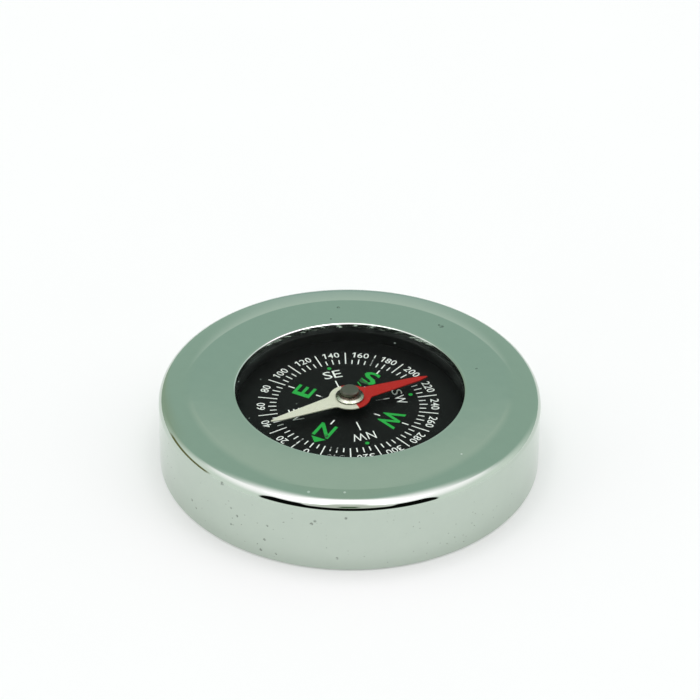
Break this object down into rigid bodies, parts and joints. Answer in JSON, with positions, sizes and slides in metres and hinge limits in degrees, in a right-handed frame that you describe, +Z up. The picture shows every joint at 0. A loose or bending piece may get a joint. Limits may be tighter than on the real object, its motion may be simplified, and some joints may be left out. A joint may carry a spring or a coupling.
{
  "type": "compass",
  "caption": "Round desk compass: a chromed metal ring case with a black dial under a clear low-domed lens and a red and cream needle that turns on a pivot.",
  "frame": {"origin": "centre of the felt pad's underside, on the surface that the compass stands on", "axes": "+Z up along the case's axis, +Y towards the dial's north, +X towards its east"},
  "size_m": [0.0746, 0.0746, 0.0166],
  "materials": {
    "polished_chrome": "chromed brass, a mirror with small pits and dents",
    "gasket_rubber": "matte black washer",
    "clear_lens": "clear and polished",
    "cup_plastic": "glossy black moulding",
    "printed_dial": "satin black with white and green print",
    "bush_brass": "turned",
    "pin_steel": "ground to a point",
    "needle_paint": "red on one arm, cream on the other",
    "bright_collar": "bright turned metal",
    "cap_grey": "dull grey turned metal",
    "jewel_glass": "polished red jewel",
    "carrier_plastic": "black moulding",
    "ballast_brass": "plain turned brass, which leaves the needle alone",
    "cushion_foam": "black cellular foam",
    "base_plastic": "black moulding with a fine grain",
    "screw_nickel": "nickel plated brass",
    "felt": "dark green felt"
  },
  "bodies": {
    "case": {"case_shell": "polished_chrome", "window_gasket": "gasket_rubber", "crystal": "clear_lens", "capsule_cup": "cup_plastic", "dial_plate": "printed_dial", "pivot_bush": "bush_brass", "pivot_pin": "pin_steel", "capsule_carrier": "carrier_plastic", "ballast_ring": "ballast_brass", "cushion_ring": "cushion_foam", "base_plate": "base_plastic", "base_screw_1": "screw_nickel", "base_screw_2": "screw_nickel", "base_screw_3": "screw_nickel", "base_screw_4": "screw_nickel", "felt_pad": "felt"},
    "needle": {"needle_blade": "needle_paint", "needle_collar": "bright_collar", "needle_cap": "cap_grey", "jewel_bearing": "jewel_glass"}
  },
  "joints": [
    {"name": "needle_spin", "type": "hinge", "parent": "case", "child": "needle", "pos_m": [0, 0, 0.0146], "axis": [0, 0, 1], "continuous": true}
  ]
}
